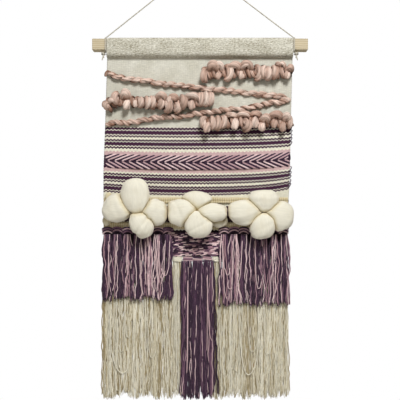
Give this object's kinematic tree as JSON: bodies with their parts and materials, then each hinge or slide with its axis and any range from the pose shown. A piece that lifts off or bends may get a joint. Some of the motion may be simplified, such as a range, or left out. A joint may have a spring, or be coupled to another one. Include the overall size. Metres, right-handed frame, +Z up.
{
  "type": "tapestry wall hanging",
  "caption": "Woven wall hanging on a square batten hung by a cord, with roving braids, loops and puffs, a herringbone band and two tiers of knotted fringe.",
  "frame": {"origin": "middle of the nail that the hanging cord rests on", "axes": "+Z up, +X to the right as seen from the front, +Y into the wall"},
  "size_m": [0.4, 0.0579, 0.8139],
  "materials": {
    "pine": "sanded, unfinished",
    "cotton_cord": "twisted cotton",
    "woven_cloth": "weft-faced plain weave, with dark purple stripes",
    "herringbone_yarn": "two colours of wrapped yarn",
    "pink_roving": "soft unspun roving",
    "cream_roving": "soft unspun roving",
    "purple_yarn": "spun yarn, shaded from dark purple to dusty pink",
    "cream_yarn": "spun yarn"
  },
  "bodies": {
    "cord": {"hanging_cord": "cotton_cord"},
    "batten": {"batten": "pine", "rod_sleeve": "woven_cloth", "cord_wrap_left": "cotton_cord", "cord_wrap_right": "cotton_cord", "cord_knot_left": "cotton_cord", "cord_knot_right": "cotton_cord"},
    "tapestry": {"woven_panel": "woven_cloth", "herringbone_band": "herringbone_yarn", "pink_braid_upper": "pink_roving", "pink_braid_lower": "pink_roving", "pink_loops_upper": "pink_roving", "pink_loops_middle": "pink_roving", "pink_loops_lower": "pink_roving", "roving_puffs_left": "cream_roving", "roving_puffs_centre": "cream_roving", "roving_puffs_right": "cream_roving", "centre_soumak": "purple_yarn", "purple_knots_left": "purple_yarn", "purple_knots_right": "purple_yarn", "purple_knots_centre": "purple_yarn", "cream_knots_left": "cream_yarn", "cream_knots_right": "cream_yarn"},
    "upper_fringe_left": {"purple_tassel_left_1": "purple_yarn", "purple_tassel_left_2": "purple_yarn", "purple_tassel_left_3": "purple_yarn", "purple_tassel_left_4": "purple_yarn", "purple_tassel_left_5": "purple_yarn", "purple_tassel_left_6": "purple_yarn", "purple_tassel_left_7": "purple_yarn"},
    "upper_fringe_right": {"purple_tassel_right_1": "purple_yarn", "purple_tassel_right_2": "purple_yarn", "purple_tassel_right_3": "purple_yarn", "purple_tassel_right_4": "purple_yarn", "purple_tassel_right_5": "purple_yarn", "purple_tassel_right_6": "purple_yarn", "purple_tassel_right_7": "purple_yarn"},
    "centre_fringe": {"purple_tassel_centre_1": "purple_yarn", "purple_tassel_centre_2": "purple_yarn", "purple_tassel_centre_3": "purple_yarn"},
    "lower_fringe_left": {"cream_tassel_left_1": "cream_yarn", "cream_tassel_left_2": "cream_yarn", "cream_tassel_left_3": "cream_yarn", "cream_tassel_left_4": "cream_yarn", "cream_tassel_left_5": "cream_yarn", "cream_tassel_left_6": "cream_yarn", "cream_tassel_left_7": "cream_yarn", "cream_tassel_left_8": "cream_yarn"},
    "lower_fringe_right": {"cream_tassel_right_1": "cream_yarn", "cream_tassel_right_2": "cream_yarn", "cream_tassel_right_3": "cream_yarn", "cream_tassel_right_4": "cream_yarn", "cream_tassel_right_5": "cream_yarn", "cream_tassel_right_6": "cream_yarn", "cream_tassel_right_7": "cream_yarn", "cream_tassel_right_8": "cream_yarn"}
  },
  "joints": [
    {"name": "batten_roll", "type": "hinge", "parent": "cord", "child": "batten", "pos_m": [0.0043, 0, -0.1324], "axis": [-1, 0, 0], "range_deg": [-30, 30]},
    {"name": "cloth_swing", "type": "hinge", "parent": "batten", "child": "tapestry", "pos_m": [0.0043, 0, -0.1684], "axis": [-1, 0, 0], "range_deg": [-30, 30]},
    {"name": "upper_fringe_left_swing", "type": "hinge", "parent": "tapestry", "child": "upper_fringe_left", "pos_m": [-0.1115, -0.0084, -0.5004], "axis": [-1, 0, 0], "range_deg": [0, 45]},
    {"name": "upper_fringe_right_swing", "type": "hinge", "parent": "tapestry", "child": "upper_fringe_right", "pos_m": [0.1047, -0.0084, -0.5004], "axis": [-1, 0, 0], "range_deg": [0, 45]},
    {"name": "centre_fringe_swing", "type": "hinge", "parent": "tapestry", "child": "centre_fringe", "pos_m": [0, -0.00775, -0.5508], "axis": [-1, 0, 0], "range_deg": [0, 45]},
    {"name": "lower_fringe_left_swing", "type": "hinge", "parent": "tapestry", "child": "lower_fringe_left", "pos_m": [-0.1023, 0, -0.5508], "axis": [-1, 0, 0], "range_deg": [-25, 0]},
    {"name": "lower_fringe_right_swing", "type": "hinge", "parent": "tapestry", "child": "lower_fringe_right", "pos_m": [0.0986, 0, -0.5508], "axis": [-1, 0, 0], "range_deg": [-25, 0]}
  ]
}
